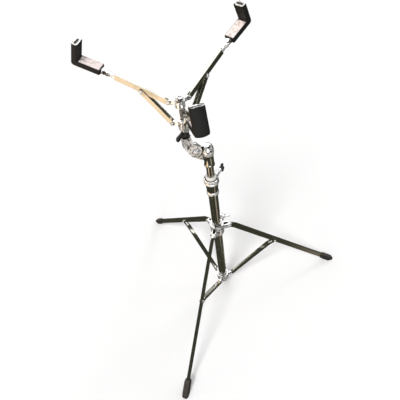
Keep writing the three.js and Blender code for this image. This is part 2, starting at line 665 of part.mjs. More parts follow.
const base = new THREE.Group();
base.add(baseTube(), tubePlug(), lowerCollar(), legCollar(), heightHousing(), heightBush());
const collarBolt = wingBolt("leg_collar_bolt", COLLAR_BOLT_STEM, COLLAR_BOLT_REACH, chrome);
base.add(inBoss(collarBolt, COLLAR_BOLT_AZIMUTH, COLLAR_BOLT_Z, COLLAR_BOLT_TURN));
const heightBolt = wingBolt("height_bolt", HEIGHT_BOLT_STEM, HEIGHT_BOLT_REACH, blackPlastic);
base.add(inBoss(heightBolt, HEIGHT_BOLT_AZIMUTH, HEIGHT_BOLT_Z, HEIGHT_BOLT_TURN));
for (const [place, azimuth] of Object.entries(LEG_AZIMUTHS)) {
  base.add(facing(azimuth, leg(place), foot(place), legPin(place), brace(place), bracePin(place)));
}

const tilter = facing(TILT_AZIMUTH, tilterBase(), ratchetDisc(), tilterArm(), tilterWingBolt());

const basket = leaning(
  basketRod(), facing(NUT_AZIMUTH, wingNut()), hubWasher(), hubScrew(),
  spider("slider", SLIDER_R, SLIDER_BOTTOM, SLIDER_TOP, STRUT_ON_SLIDER, SLIDER_TONGUE, SLIDER_TONGUE_R),
  spider("hub", HUB_R, HUB_BOTTOM, HUB_TOP, ARM_PIVOT, HUB_TONGUE, HUB_TONGUE_R),
  ...Object.entries(ARM_AZIMUTHS).map(([place, azimuth]) =>
    facing(azimuth, arm(place), armTip(place), grip(place), armPin(place), strut(place), strutPin(place))),
);

const stand = new THREE.Group();
stand.add(base, upperTube(), tilter, basket);

// The origin is the middle of the whole stand's box on the floor.
const box = new THREE.Box3().setFromObject(stand, true);
stand.position.set(-(box.min.x + box.max.x) / 2, -(box.min.y + box.max.y) / 2, -box.min.z);

const group = new THREE.Group();
group.add(stand);

export default group;
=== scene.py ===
import json
import math

import bmesh
import bpy
from mathutils import Matrix, Vector


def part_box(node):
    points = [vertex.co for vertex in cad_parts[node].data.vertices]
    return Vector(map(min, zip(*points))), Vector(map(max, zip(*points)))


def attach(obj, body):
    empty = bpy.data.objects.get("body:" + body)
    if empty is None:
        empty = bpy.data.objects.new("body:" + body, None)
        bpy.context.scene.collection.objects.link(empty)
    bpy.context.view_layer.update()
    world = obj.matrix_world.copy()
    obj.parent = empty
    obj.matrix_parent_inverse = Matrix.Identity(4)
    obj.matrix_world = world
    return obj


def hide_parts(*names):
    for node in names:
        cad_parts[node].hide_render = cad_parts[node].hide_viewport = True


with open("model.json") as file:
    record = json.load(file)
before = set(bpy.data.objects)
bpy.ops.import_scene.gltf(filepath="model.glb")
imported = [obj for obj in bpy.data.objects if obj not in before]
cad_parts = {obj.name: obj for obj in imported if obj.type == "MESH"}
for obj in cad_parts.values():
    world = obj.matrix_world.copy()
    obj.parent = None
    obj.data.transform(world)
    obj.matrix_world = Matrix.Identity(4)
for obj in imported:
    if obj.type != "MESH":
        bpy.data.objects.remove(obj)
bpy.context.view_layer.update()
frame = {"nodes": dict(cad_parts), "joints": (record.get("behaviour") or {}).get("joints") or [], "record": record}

MM = 0.001  # metres
UP = Vector((0, 0, 1))
PLACES = ("front", "right", "left")
JOINTS = {joint["name"]: joint for joint in frame["joints"]}
MOUNTS = {mount["name"]: mount for mount in frame["record"]["mounts"]}
TUBE_AXIS = (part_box("base_tube")[0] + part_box("base_tube")[1]) / 2


BASKET_CENTRE = Vector(JOINTS["basket_swivel"]["pos_m"])
BASKET_AXIS = Vector(JOINTS["basket_swivel"]["axis"])


def hinge_azimuths(kind, centre, axis):
    """Where each leg's or arm's hinge lies round an axis, in degrees."""
    upright = axis.rotation_difference(UP)
    azimuths = {}
    for place in PLACES:
        offset = upright @ (Vector(JOINTS["%s_%s_hinge" % (kind, place)]["pos_m"]) - centre)
        azimuths[place] = math.degrees(math.atan2(offset.y, offset.x))
    return azimuths


LEG_AZIMUTHS = hinge_azimuths("leg", TUBE_AXIS, UP)
ARM_AZIMUTHS = hinge_azimuths("arm", BASKET_CENTRE, BASKET_AXIS)

# ---- node helpers -------------------------------------------------------------------------------


class Nodes:
    """A short way to add shader nodes and link them."""

    def __init__(self, tree):
        self.tree = tree
        tree.nodes.clear()

    def add(self, kind, links=None, **settings):
        node = self.tree.nodes.new(kind)
        for key, value in settings.items():
            setattr(node, key, value)
        for key, value in (links or {}).items():
            socket = node.inputs[key]
            if isinstance(value, bpy.types.NodeSocket):
                self.tree.links.new(value, socket)
            else:
                socket.default_value = value
        return node

    def math(self, operation, a, b=0.0):
        return self.add("ShaderNodeMath", {0: a, 1: b}, operation=operation).outputs[0]

    def vector(self, operation, a, b):
        return self.add("ShaderNodeVectorMath", {0: a, 1: b}, operation=operation)

    def noise(self, coords, scale, detail=3.0, roughness=0.5):
        node = self.add("ShaderNodeTexNoise",
                        {"Vector": coords, "Scale": scale, "Detail": detail, "Roughness": roughness})
        return node.outputs["Fac"]

    def stretch(self, coords, factors):
        return self.vector("MULTIPLY", coords, factors).outputs[0]

    def ramp(self, value, low, high, out_low=0.0, out_high=1.0):
        node = self.add("ShaderNodeMapRange", {"Value": value, "From Min": low, "From Max": high,
                                               "To Min": out_low, "To Max": out_high})
        node.interpolation_type = "SMOOTHSTEP"
        return node.outputs[0]

    def mix(self, factor, a, b):
        """Colour a where the factor is 0 and b where it is 1; 6, 7 and 2 are the colour sockets."""
        return self.add("ShaderNodeMix", {0: factor, 6: a, 7: b}, data_type="RGBA").outputs[2]


def grey(value):
    return (value, value, value, 1)


def new_material(name):
    material = bpy.data.materials.new(name)
    material.use_nodes = True
    nodes = Nodes(material.node_tree)
    shader = nodes.add("ShaderNodeBsdfPrincipled")
    output = nodes.add("ShaderNodeOutputMaterial")
    nodes.tree.links.new(shader.outputs[0], output.inputs["Surface"])
    coords = nodes.add("ShaderNodeTexCoord").outputs["Object"]
    return material, nodes, shader, coords


def set_bump(nodes, shader, height, distance, strength):
    bump = nodes.add("ShaderNodeBump", {"Height": height, "Distance": distance, "Strength": strength})
    nodes.tree.links.new(bump.outputs[0], shader.inputs["Normal"])


# ---- materials ----------------------------------------------------------------------------------


def chrome_material():
    material, nodes, shader, coords = new_material("chrome_plate")
    shader.inputs["Metallic"].default_value = 1.0
    cloud = nodes.noise(coords, 34.0, 4.0, 0.6)
    smear = nodes.noise(nodes.stretch(coords, (1.0, 1.0, 0.16)), 150.0, 3.0, 0.6)
    grime = nodes.ramp(nodes.noise(coords, 12.0, 5.0, 0.7), 0.56, 0.74)
    tint = nodes.mix(cloud, (0.50, 0.49, 0.44, 1), (0.66, 0.65, 0.60, 1))
    dull = nodes.mix(nodes.math("MULTIPLY", grime, 0.5), tint, (0.30, 0.28, 0.22, 1))
    nodes.tree.links.new(dull, shader.inputs["Base Color"])
    rough = nodes.math("ADD", nodes.math("MULTIPLY", smear, 0.10), 0.03)
    rough = nodes.math("ADD", rough, nodes.math("MULTIPLY", grime, 0.10))
    nodes.tree.links.new(rough, shader.inputs["Roughness"])
    ripple = nodes.noise(coords, 90.0, 2.0, 0.5)
    scratch = nodes.noise(nodes.stretch(coords, (1.0, 1.0, 0.05)), 1400.0, 2.0, 0.7)
    height = nodes.math("ADD", ripple, nodes.math("MULTIPLY", scratch, 0.15))
    set_bump(nodes, shader, height, 0.00012, 0.6)
    return material


def casting_material():
    """Plated castings: brighter and softer than the drawn tubes, with a lightly pebbled skin; dark patches are
    painted reflection, and crevices get painted shade.
    """
    material, nodes, shader, coords = new_material("plated_casting")
    shader.inputs["Metallic"].default_value = 0.72
    cloud = nodes.noise(coords, 150.0, 3.0, 0.6)
    # Painted reflection: sharp dark patches in the white plate stand in for mirrored dark surroundings.
    painted_reflection_patches = nodes.ramp(cloud, 0.54, 0.59)
    tint = nodes.mix(painted_reflection_patches, (0.99, 0.99, 1.0, 1), (0.09, 0.08, 0.065, 1))
    # Painted shade: ambient occlusion turns the colour near black in crevices and where parts meet.
    crevice_shade = nodes.add("ShaderNodeAmbientOcclusion", {"Distance": 0.012})
    open_face = nodes.ramp(crevice_shade.outputs["AO"], 0.45, 0.85)
    shade = nodes.mix(open_face, (0.03, 0.028, 0.024, 1), tint)
    nodes.tree.links.new(shade, shader.inputs["Base Color"])
    nodes.tree.links.new(nodes.ramp(cloud, 0.3, 0.7, 0.06, 0.2), shader.inputs["Roughness"])
    set_bump(nodes, shader, nodes.noise(coords, 130.0, 2.0, 0.5), 0.0009, 0.7)
    return material


def steel_material():
    material, nodes, shader, coords = new_material("zinc_steel")
    shader.inputs["Metallic"].default_value = 1.0
    spots = nodes.ramp(nodes.noise(coords, 320.0, 4.0, 0.7), 0.45, 0.7)
    colour = nodes.mix(spots, (0.50, 0.49, 0.47, 1), (0.24, 0.22, 0.19, 1))
    nodes.tree.links.new(colour, shader.inputs["Base Color"])
    rough = nodes.ramp(nodes.noise(coords, 180.0, 3.0, 0.6), 0.3, 0.7, 0.18, 0.42)
    nodes.tree.links.new(rough, shader.inputs["Roughness"])
    set_bump(nodes, shader, nodes.noise(coords, 900.0, 3.0, 0.6), 0.00008, 0.7)
    return material


def rubber_material(name, dark, dusty, dust_from, dust_to, coarse):
    """Moulded rubber: fine pitting everywhere, and pale dust where the surface faces up."""
    material, nodes, shader, coords = new_material(name)
    shader.inputs["Specular IOR Level"].default_value = 0.36
    normal = nodes.add("ShaderNodeNewGeometry").outputs["Normal"]
    facing_up = nodes.add("ShaderNodeSeparateXYZ", {0: normal}).outputs["Z"]
    cloud = nodes.noise(coords, 60.0, 5.0, 0.65)
    pits = nodes.noise(coords, coarse, 4.0, 0.7)
    up = nodes.ramp(facing_up, dust_from, dust_to)
    dust = nodes.math("MULTIPLY", up, nodes.ramp(cloud, 0.25, 0.7, 0.45, 1.0))
    base = nodes.mix(nodes.ramp(pits, 0.3, 0.75), dark, tuple(1.9 * c for c in dark[:3]) + (1,))
    nodes.tree.links.new(nodes.mix(dust, base, dusty), shader.inputs["Base Color"])
    rough = nodes.ramp(pits, 0.3, 0.7, 0.42, 0.68)
    nodes.tree.links.new(rough, shader.inputs["Roughness"])
    set_bump(nodes, shader, nodes.math("ADD", pits, nodes.math("MULTIPLY", cloud, 0.6)), 0.0003, 0.55)
    return material


def pad_material():
    """The worn, shiny inside of a grip, polished pale and streaked along its length."""
    material, nodes, shader, coords = new_material("grip_pad_worn")
    cloud = nodes.noise(coords, 110.0, 5.0, 0.7)
    colour = nodes.mix(nodes.ramp(cloud, 0.46, 0.66), (0.84, 0.73, 0.70, 1), (0.40, 0.33, 0.31, 1))
    nodes.tree.links.new(colour, shader.inputs["Base Color"])
    rough = nodes.ramp(nodes.noise(coords, 240.0, 3.0, 0.6), 0.3, 0.7, 0.22, 0.45)
    nodes.tree.links.new(rough, shader.inputs["Roughness"])
    shader.inputs["Specular IOR Level"].default_value = 0.7
    set_bump(nodes, shader, cloud, 0.0002, 0.6)
    return material


def plastic_material():
    material, nodes, shader, coords = new_material("black_plastic")
    pits = nodes.noise(coords, 1500.0, 3.0, 0.6)
    cloud = nodes.noise(coords, 90.0, 3.0, 0.6)
    nodes.tree.links.new(nodes.mix(cloud, grey(0.006), grey(0.022)), shader.inputs["Base Color"])
    nodes.tree.links.new(nodes.ramp(cloud, 0.3, 0.7, 0.2, 0.38), shader.inputs["Roughness"])
    set_bump(nodes, shader, pits, 0.00006, 0.6)
    return material


def nylon_material():
    material, nodes, shader, coords = new_material("nylon")
    cloud = nodes.noise(coords, 300.0, 3.0, 0.6)
    nodes.tree.links.new(nodes.mix(cloud, (0.66, 0.65, 0.62, 1), (0.50, 0.49, 0.46, 1)),
                         shader.inputs["Base Color"])
    nodes.tree.links.new(nodes.ramp(cloud, 0.3, 0.7, 0.3, 0.45), shader.inputs["Roughness"])
    set_bump(nodes, shader, cloud, 0.0001, 0.4)
    return material


MATERIALS = {
    "chrome": chrome_material(),
    "casting": casting_material(),
    "steel": steel_material(),
    "grip_rubber": rubber_material("grip_rubber", (0.006, 0.006, 0.006, 1), (0.035, 0.033, 0.032, 1),
                                   0.5, 1.0, 900.0),
    "foot_rubber": rubber_material("foot_rubber", (0.010, 0.009, 0.008, 1), (0.075, 0.062, 0.055, 1),
                                   0.4, 1.0, 700.0),
    "pad": pad_material(),
    "black_plastic": plastic_material(),
    "nylon_bush": nylon_material(),
}

# ---- mesh helpers -------------------------------------------------------------------------------


def swing_frame(joint_name, azimuth):
    """Local axes at a hinge: X away from the middle, Y along the hinge, Z up; units millimetres."""
    joint = JOINTS[joint_name]
    angle = math.radians(azimuth)
    outwards = Vector((math.cos(angle), math.sin(angle), 0))
    side = Vector(joint["axis"])
    if side.cross(UP).dot(outwards) < 0:
        side = -side
    up = (outwards - side * outwards.dot(side)).normalized().cross(side)
    return axes_at(Vector(joint["pos_m"]), side.cross(up), side, up)


def axes_at(origin, x, y, z):
    matrix = Matrix((x, y, z)).transposed().to_4x4()
    matrix.translation = origin
    return matrix @ Matrix.Scale(MM, 4)


def sideways(matrix):
    """The same place with local Z turned onto local Y, for pieces turned round a hinge."""
    return matrix @ Matrix.Rotation(math.radians(-90), 4, "X")


def outward(matrix):
    """The same place with local Z turned onto local X."""
    return matrix @ Matrix.Rotation(math.radians(90), 4, "Y")


def tube_frame(azimuth, radius=0.0, height=0.0):
    """X away from the tube's axis at that azimuth, Y round it, Z up; units millimetres."""
    angle = math.radians(azimuth)
    out = Vector((math.cos(angle), math.sin(angle), 0))
    origin = Vector((TUBE_AXIS.x, TUBE_AXIS.y, 0)) + out * radius * MM + UP * height * MM
    return axes_at(origin, out, UP.cross(out), UP)


def basket_frame(joint_name, azimuth=0.0):
    """The same on the basket's own axis, which leans; Z runs up the threaded rod."""
    joint = JOINTS[joint_name]
    axis = Vector(joint["axis"])
    lean = UP.rotation_difference(axis)
    angle = math.radians(azimuth)
    out = lean @ Vector((math.cos(angle), math.sin(angle), 0))
    return axes_at(Vector(joint["pos_m"]), out, axis.cross(out), axis)


WELD_DISTANCE = 1e-7  # metres
SHARP_FROM = math.radians(48)  # edges of a piece that bend this much or more stay sharp


def make_piece(name, bm, body, slot, replaced=(), material=None):
    """Turns a bmesh into a piece that rides on a CAD body and may stand in for CAD nodes."""
    bmesh.ops.remove_doubles(bm, verts=bm.verts, dist=WELD_DISTANCE)
    bmesh.ops.recalc_face_normals(bm, faces=bm.faces)
    for face in bm.faces:
        face.smooth = True
    for edge in bm.edges:
        edge.smooth = edge.calc_face_angle(0.0) < SHARP_FROM
    mesh = bpy.data.meshes.new(name)
    bm.to_mesh(mesh)
    bm.free()
    piece = bpy.data.objects.new(name, mesh)
    bpy.context.scene.collection.objects.link(piece)
    mesh.materials.append(material or MATERIALS[slot])
    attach(piece, body)
    if replaced:
        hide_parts(*replaced)
    return piece


def add_rings(bm, rings, matrix, closed_ends=True):
    """Skins a list of rings, each a list of points with the same count."""
    loops = [[bm.verts.new(matrix @ Vector(point)) for point in ring] for ring in rings]
    count = len(loops[0])
    for near, far in zip(loops, loops[1:]):
        for k in range(count):
            bm.faces.new((near[k], near[(k + 1) % count], far[(k + 1) % count], far[k]))
    if closed_ends:
        bm.faces.new(loops[0][::-1])
        bm.faces.new(loops[-1])


def circle_ring(radius, height, sides):
    angles = [2 * math.pi * k / sides for k in range(sides)]
    return [(radius * math.cos(angle), radius * math.sin(angle), height) for angle in angles]


def superellipse(half_a, half_b, sides, power):
    """A rounded box outline as (a, b) pairs; a power of 1 makes an ellipse, and 0 a box."""
    pairs = []
    for k in range(sides):
        angle = 2 * math.pi * k / sides
        c, s = math.cos(angle), math.sin(angle)
        pairs.append((half_a * math.copysign(abs(c) ** power, c),
                      half_b * math.copysign(abs(s) ** power, s)))
    return pairs


def oval_ring(x, half_y, half_z, centre_z, sides, power):
    """A rounded-box ring in the plane X = x."""
    return [(x, y, centre_z + z) for y, z in superellipse(half_y, half_z, sides, power)]


SMALLEST_RADIUS = 0.02  # a pole this wide keeps its ring of points apart


def add_turned(bm, profile, matrix, sides=32):
    """A turned solid round local Z; the profile is a list of (radius, z)."""
    add_rings(bm, [circle_ring(max(r, SMALLEST_RADIUS), z, sides) for r, z in profile], matrix)


def add_hollow(bm, profile, matrix, sides=32):
    """A turned solid with a bore; the profile goes once round its wall, and closes on itself."""
    loop = list(profile) + [profile[0]]
    add_rings(bm, [circle_ring(r, z, sides) for r, z in loop], matrix, closed_ends=False)


def soften(piece, width, angle=35):
    """Rounds a piece's sharp edges, by a width in millimetres."""
    bevel = piece.modifiers.new("bevel", "BEVEL")
    bevel.width = width * MM
    bevel.segments = 2
    bevel.limit_method = "ANGLE"
    bevel.angle_limit = math.radians(angle)
    bevel.harden_normals = True


def subdivide(piece):
    subsurf = piece.modifiers.new("subdivision", "SUBSURF")
    subsurf.levels = 1
    subsurf.render_levels = 1


# ---- CAD nodes that keep their shape ------------------------------------------------------------


CASTINGS = ("hub", "slider", "tilter_base", "tilter_arm", "leg_collar", "lower_collar")
# Nodes of thin sheet, which take a finer bevel than solid ones.
SHEET_METAL = ("arm_", "strut_", "leg_", "brace_", "ratchet_disc")
SHEET_BEVEL = 0.25
SOLID_BEVEL = 0.5
NODE_WELD_DISTANCE = 1e-6


def finish_cad_node(node_name, slot):
    """Gives a CAD node its material, fine rounded edges, and flat faces that shade as flat."""
    node = frame["nodes"][node_name]
    node.data.materials.clear()
    node.data.materials.append(MATERIALS["casting" if node_name in CASTINGS else slot])
    for polygon in node.data.polygons:
        polygon.use_smooth = True
    weld = node.modifiers.new("weld", "WELD")
    weld.merge_threshold = NODE_WELD_DISTANCE
    soften(node, SHEET_BEVEL if node_name.startswith(SHEET_METAL) else SOLID_BEVEL)
    flat_faces = node.modifiers.new("flat_faces", "WEIGHTED_NORMAL")
    flat_faces.mode = "FACE_AREA"
    flat_faces.weight = 100


for entry in frame["record"]["subparts"]:
    finish_cad_node(entry["node"], entry["material_slot"])

# ---- grips --------------------------------------------------------------------------------------

GRIP_PAD = 46.7  # length of the pad, from the grip's inside corner
GRIP_WALL = 35.5  # height of the wall, from the same corner
GRIP_THICK = 13.5
GRIP_HALF_WIDTH = 12.5
GRIP_END_ROUND = 1.6
GRIP_CROWN = 2.2  # how far the outside bows out
PAD_MOUNT_INSET = 20.0  # from the grip's inside corner to the mount on its pad
CORNER_SQUARENESS = 4.5
RIB_COUNT = 5
RIB_DEPTH = 0.55
CAP_POWER = 0.45


def rib_wave(across, half_width):
    """Lengthwise ribs as a wave from 0 to 1, over a panel of that half width."""
    return 0.5 - 0.5 * math.cos(2 * math.pi * RIB_COUNT * (across + half_width) / (2 * half_width))


def clamped(value):
    return min(1.0, max(0.0, value))


def grip_frame(place):
    """X outwards along the pad, Y across it, Z up the wall, from the grip's inside corner."""
    mount = MOUNTS["grip_%s_pad" % place]
    normal = Vector(mount["axis"])
    side = -Vector(JOINTS["arm_%s_hinge" % place]["axis"])
    out = side.cross(normal)
    origin = Vector(mount["pos_m"]) + out * PAD_MOUNT_INSET * MM
    return axes_at(origin, out, side, normal)


def grip_section():
    """The grip's cross-section as (across, depth), ribbed on the inside and crowned outside."""
    edge = GRIP_HALF_WIDTH - GRIP_END_ROUND
    side = [(GRIP_HALF_WIDTH - 0.5, 0.5), (GRIP_HALF_WIDTH, 1.6), (GRIP_HALF_WIDTH, GRIP_THICK - 4.2),
            (GRIP_HALF_WIDTH - 0.5, GRIP_THICK - 3.0)]
    inner_steps = 40
    inside = []
    for k in range(inner_steps + 1):
        across = -edge + 2 * edge * k / inner_steps
        panel = clamped((edge - abs(across) - 1.2) / 0.5)
        inside.append((across, panel * RIB_DEPTH * rib_wave(across, edge)))
    outer_steps = 10
    outside = []
    for k in range(outer_steps + 1):
        across = (GRIP_HALF_WIDTH - 1.4) * (1 - 2 * k / outer_steps)
        bow = 1 - (across / GRIP_HALF_WIDTH) ** 2
        outside.append((across, GRIP_THICK + GRIP_CROWN * (bow - 1)))
    other_side = [(-across, depth) for across, depth in reversed(side)]
    return inside + side + outside + other_side


def corner_reach(angle):
    """How far the outside corner stands from the inside corner, for one millimetre of depth."""
    c, s = abs(math.cos(angle)), abs(math.sin(angle))
    return 1.0 / (c ** CORNER_SQUARENESS + s ** CORNER_SQUARENESS) ** (1.0 / CORNER_SQUARENESS)


def pad_ring(section, along, shrink):
    middle = GRIP_THICK / 2
    return [(along, across * shrink, -(middle + (depth - middle) * shrink))
            for across, depth in section]


def corner_ring(section, angle):
    reach = corner_reach(angle)
    return [(math.sin(angle) * reach * depth, across, -math.cos(angle) * reach * depth)
            for across, depth in section]


def wall_ring(section, height, shrink):
    middle = GRIP_THICK / 2
    return [(middle + (depth - middle) * shrink, across * shrink, height)
            for across, depth in section]


def grip_rings():
    """Rings along the pad, round the corner and up the wall, with rounded ends."""
    section = grip_section()
    pad_steps, corner_steps, wall_steps = 9, 12, 6
    pad_start = -GRIP_PAD + GRIP_END_ROUND
    wall_end = GRIP_WALL - GRIP_END_ROUND
    rings = [pad_ring(section, -GRIP_PAD, 0.93), pad_ring(section, -GRIP_PAD + 0.6, 0.98)]
    for step in range(pad_steps):
        rings.append(pad_ring(section, pad_start * (1 - step / pad_steps), 1.0))
    for step in range(corner_steps + 1):
        rings.append(corner_ring(section, math.radians(90 * step / corner_steps)))
    for step in range(1, wall_steps + 1):
        rings.append(wall_ring(section, wall_end * step / wall_steps, 1.0))
    rings.append(wall_ring(section, GRIP_WALL - 0.5, 0.985))
    rings.append(wall_ring(section, GRIP_WALL, 0.95))
    return rings


def make_grip(place):
    """The moulded L-shaped grip, with its worn panel and its cap."""
    matrix = grip_frame(place)
    bm = bmesh.new()
    add_rings(bm, grip_rings(), matrix)
    grip = make_piece("grip_rubber_" + place, bm, "arm_" + place, "grip_rubber", ["grip_" + place])
    soften(grip, 0.3, 50)
    add_pad(place, matrix)
    add_grip_cap(place, matrix)


def add_pad(place, matrix):
    """The worn panel on the pad: a raised rim round lengthwise ribs."""
    bm = bmesh.new()
    half = GRIP_HALF_WIDTH - 1.5
    start, end = -GRIP_PAD + 1.4, -GRIP_END_ROUND
    rim_width = 1.3
    skirt = Vector((0, 0, 0.8))
    columns, rows = 44, 24
    grid = []
    for i in range(rows + 1):
        along = start + (end - start) * i / rows
        row = []
        for k in range(columns + 1):
            across = -half + 2 * half * k / columns
            rim = min(half - abs(across), along - start, end - along) / rim_width
            inside = clamped(rim - 0.6)
            ribs = 0.35 + 0.45 * rib_wave(across, half)
            height = -0.5 + 0.85 * clamped(rim * 2.5) - inside * ribs
            row.append(bm.verts.new(matrix @ Vector((along, across, height))))
        grid.append(row)
    for near, far in zip(grid, grid[1:]):
        for k in range(columns):
            bm.faces.new((near[k], near[k + 1], far[k + 1], far[k]))
    edge = ([grid[0][k] for k in range(columns + 1)] + [row[-1] for row in grid[1:]]
            + [grid[-1][k] for k in range(columns - 1, -1, -1)] + [row[0] for row in grid[-2:0:-1]])
    lower = [bm.verts.new(vert.co - matrix.to_3x3() @ skirt) for vert in edge]
    for k in range(len(edge)):
        after = (k + 1) % len(edge)
        bm.faces.new((edge[k], edge[after], lower[after], lower[k]))
    bm.faces.new(lower)
    make_piece("grip_pad_" + place, bm, "arm_" + place, "grip_rubber", material=MATERIALS["pad"])


def cap_ring(inset, lift, sides=40):
    """A rounded oblong at the top of the grip, set in from its edge."""
    outline = superellipse(GRIP_THICK / 2 - inset, GRIP_HALF_WIDTH - inset, sides, CAP_POWER)
    return [(GRIP_THICK / 2 + x, y, GRIP_WALL + lift) for x, y in outline]


def add_grip_cap(place, matrix):
    """A chromed rim round the top of the grip, and a dished steel plate inside it."""
    plate = bmesh.new()
    dish = ((2.2, -0.6), (2.2, 0.4), (3.0, 0.5), (3.8, 0.2), (4.6, -0.3), (6.2, -0.4))
    add_rings(plate, [cap_ring(inset, lift) for inset, lift in dish], matrix)
    make_piece("grip_plate_" + place, plate, "arm_" + place, "steel")
    rim = bmesh.new()
    wall = ((0.5, -0.6), (0.3, 0.3), (0.7, 0.9), (1.7, 0.9), (2.3, 0.4), (2.3, -0.6), (0.5, -0.6))
    add_rings(rim, [cap_ring(inset, lift) for inset, lift in wall], matrix, closed_ends=False)
    make_piece("grip_cap_" + place, rim, "arm_" + place, "steel", material=MATERIALS["casting"])


for place in PLACES:
    make_grip(place)

# ---- chromed necks between arms and grips -------------------------------------------------------

NECK_STEEPER = 5.5  # degrees that the neck rises outwards more than the pad does
NECK_FROM_GRIP = 31.0  # from the grip's inner end back to the end of the arm


def make_neck(place):
    """A fluted, flared neck with a flat bar back into the arm, as (x, half_y, half_z) rows."""
    matrix = grip_frame(place) @ Matrix.Translation((-GRIP_PAD, 0, -GRIP_THICK / 2))
    turn = Matrix.Rotation(math.radians(-NECK_STEEPER), 4, "Y")
    bar = ((-NECK_FROM_GRIP - 8, 1.9, 2.6), (-NECK_FROM_GRIP, 1.9, 2.8))
    cone = ((-NECK_FROM_GRIP + 0.6, 3.0, 4.2), (-24, 3.2, 4.3), (-20, 3.4, 3.4), (-17, 4.4, 4.0))
    flutes = ((-14, 5.8, 4.6), (-12, 6.2, 4.9), (-10.5, 5.4, 4.2), (-9, 6.4, 4.7), (-7.5, 5.6, 4.3),
              (-6, 6.8, 4.9), (-4.5, 6.0, 4.5), (-3, 7.2, 5.1), (-1.2, 7.2, 5.1), (-0.4, 6.8, 4.8))
    rings = [oval_ring(x, half_y, half_z, 0.0, 24, 0.6) for x, half_y, half_z in bar + cone + flutes]
    bm = bmesh.new()
    add_rings(bm, rings, matrix @ turn)
    make_piece("grip_neck_" + place, bm, "arm_" + place, "chrome", ["arm_tip_" + place],
               MATERIALS["casting"])


# ---- pins and rivets ----------------------------------------------------------------------------


DOME_HEIGHT = 1.9
DOME_STEPS = [math.radians(angle) for angle in (0, 22, 45, 66, 84)]


def rivet_profile(half_length, shank, head):
    """Half of a rivet's outline, from the middle of its shank to the top of its domed head."""
    dome = [(head * math.cos(angle), half_length + 0.6 + DOME_HEIGHT * math.sin(angle))
            for angle in DOME_STEPS]
    return [(shank, half_length), (head * 0.96, half_length), (head, half_length + 0.3)] + dome


def add_rivet(bm, matrix, half_length, shank=2.4, head=4.2):
    """A rivet along the hinge at that frame, with a domed head at both ends."""
    upper = rivet_profile(half_length, shank, head)
    lower = [(r, -z) for r, z in reversed(upper)]
    add_turned(bm, lower + upper, sideways(matrix), 24)


def make_pin(node_name, joint_name, azimuth, body, half_length):
    """A riveted pin on a hinge, in place of the plain one in the CAD."""
    bm = bmesh.new()
    add_rivet(bm, swing_frame(joint_name, azimuth), half_length)
    make_piece(node_name + "_rivet", bm, body, "steel", [node_name], MATERIALS["casting"])


def make_linkage_rivet(name, joint_name, azimuth, body, spot, half_length):
    """A rivet where two opened links meet; the spot is (outwards, up) from the hinge."""
    bm = bmesh.new()
    matrix = swing_frame(joint_name, azimuth) @ Matrix.Translation((spot[0], 0, spot[1]))
    add_rivet(bm, matrix, half_length, 2.2, 3.8)
    make_piece(name, bm, body, "steel", material=MATERIALS["casting"])


# Half of each pin's length between its heads.
LEG_PIN_HALF = 6.9
BRACE_PIN_HALF = 5.6
ARM_PIN_HALF = 3.1
STRUT_PIN_HALF = 4.9
# Where a brace meets its leg and a strut its arm: (outwards, up) from the leg's or arm's hinge.
BRACE_RIVET_SPOT = (142.3, -128.1)
STRUT_RIVET_SPOT = (53.0, 23.1)

# ---- feet ---------------------------------------------------------------------------------------

LEG_DROP = 42.9  # degrees that a leg falls outwards
FOOT_RADIUS = 385.0  # from the tube's axis to where the boot's middle line meets the floor
FOOT_MOUTH = -50.0  # the boot runs from here to its toe, along the leg
FOOT_TOE = 6.0
FOOT_HALF = 9.2
FOOT_RIB_PITCH = 44.0 / 7
FOOT_RIB_HEIGHT = 0.8
FOOT_RIBBED = (-44.0, -4.0)
SOLE_GAP = 0.0003  # metres between the sole's worn flat and the ground plane


def foot_ring(x):
    """One ring of the boot: narrower at the mouth and toe, with rounded ribs between."""
    mouth = max(0.0, 1.0 - (x - FOOT_MOUTH) / 4.0)
    toe = max(0.0, x / FOOT_TOE)
    wave = max(0.0, math.cos(2 * math.pi * (x + 46.0) / FOOT_RIB_PITCH)) ** 0.6
    rib = FOOT_RIB_HEIGHT * wave if FOOT_RIBBED[0] < x < FOOT_RIBBED[1] else 0.0
    half_y = FOOT_HALF - 1.6 * mouth ** 2 - 3.0 * toe ** 2 + rib
    half_z = FOOT_HALF - 1.4 * mouth ** 2 - 4.0 * toe ** 2 + rib
    return oval_ring(x, half_y, half_z, 0.0, 36, 0.62)


def make_foot(place):
    """A ribbed rubber boot, worn flat where it meets the floor."""
    origin = tube_frame(LEG_AZIMUTHS[place], FOOT_RADIUS, 0.0)
    matrix = origin @ Matrix.Rotation(math.radians(LEG_DROP), 4, "Y")
    bm = bmesh.new()
    steps = 56
    length = FOOT_TOE - FOOT_MOUTH
    add_rings(bm, [foot_ring(FOOT_MOUTH + length * step / steps) for step in range(steps + 1)], matrix)
    for vert in bm.verts:
        vert.co.z = max(vert.co.z, SOLE_GAP)
    make_piece("foot_boot_" + place, bm, "leg_" + place, "foot_rubber", ["foot_" + place])


# ---- wing nut and bolts -------------------------------------------------------------------------

NUT_AZIMUTH = -121.0  # degrees, to one of the wing nut's wings
THREAD_BOTTOM, THREAD_TOP, THREAD_PITCH = -111.5, 6.4, 1.6
THREAD_ROOT, THREAD_DEPTH = 3.95, 0.55
# Azimuth in degrees, and radius and height in millimetres, where each screw's shank starts.
COLLAR_BOLT_PLACE = (55.0, 14.2, 326.0)
COLLAR_BOLT_TURN = 75
HEIGHT_BOLT_PLACE = (50.0, 14.2, 515.0)


def add_wing(bm, matrix, profile, sides=20):
    """A rounded wing along local X; the profile is a list of (out, half_y, half_z, centre_z)."""
    add_rings(bm, [oval_ring(x, y, z, centre, sides, 0.8) for x, y, z, centre in profile], matrix)


